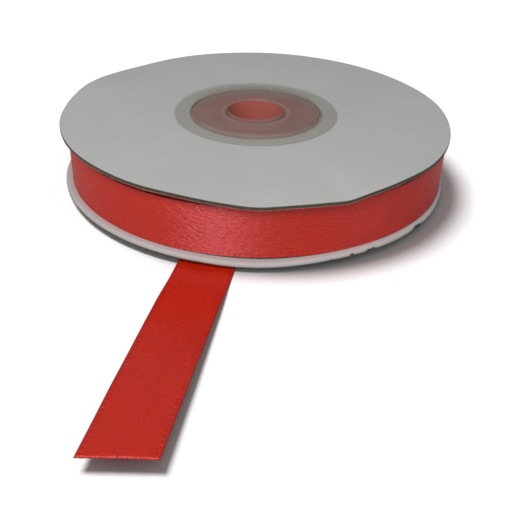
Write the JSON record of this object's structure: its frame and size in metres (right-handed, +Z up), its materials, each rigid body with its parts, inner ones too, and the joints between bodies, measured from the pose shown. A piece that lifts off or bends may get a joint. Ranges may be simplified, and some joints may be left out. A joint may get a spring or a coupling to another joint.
{
  "type": "ribbon spool",
  "caption": "Satin ribbon wound on a snap-together plastic hub between two white card discs, with its free end led out under the spool.",
  "frame": {"origin": "on the spool's axis, at the level of the surface that it lies on", "axes": "+Z up along the spool's axis, -Y towards the cut end of the ribbon"},
  "size_m": [0.0924, 0.1451, 0.0166],
  "materials": {
    "hub_plastic": "milky translucent moulded polypropylene, slightly glossy",
    "tape": "thin adhesive paper tape",
    "satin": "woven red satin with a woven selvedge on both edges",
    "grey_board": "rough die-cut edge of recycled grey board",
    "white_paper": "smooth uncoated white facing paper"
  },
  "bodies": {
    "core": {"hub_socket": "hub_plastic", "hub_plug": "hub_plastic", "starter_tape": "tape", "ribbon_roll": "satin"},
    "lower_card": {"lower_card_board": "grey_board", "lower_card_outer_paper": "white_paper", "lower_card_inner_paper": "white_paper"},
    "upper_card": {"upper_card_board": "grey_board", "upper_card_outer_paper": "white_paper", "upper_card_inner_paper": "white_paper"},
    "ribbon_end": {"ribbon_last_turn": "satin", "ribbon_free_end": "satin"}
  },
  "joints": [
    {"name": "lower_card_turn", "type": "hinge", "parent": "core", "child": "lower_card", "pos_m": [0, 0, 0.0018], "axis": [0, 0, 1], "continuous": true},
    {"name": "upper_card_turn", "type": "hinge", "parent": "core", "child": "upper_card", "pos_m": [0, 0, 0.015], "axis": [0, 0, 1], "continuous": true},
    {"name": "ribbon_unwind", "type": "hinge", "parent": "core", "child": "ribbon_end", "pos_m": [0, 0, 0.0084], "axis": [0, 0, 1], "continuous": true}
  ]
}
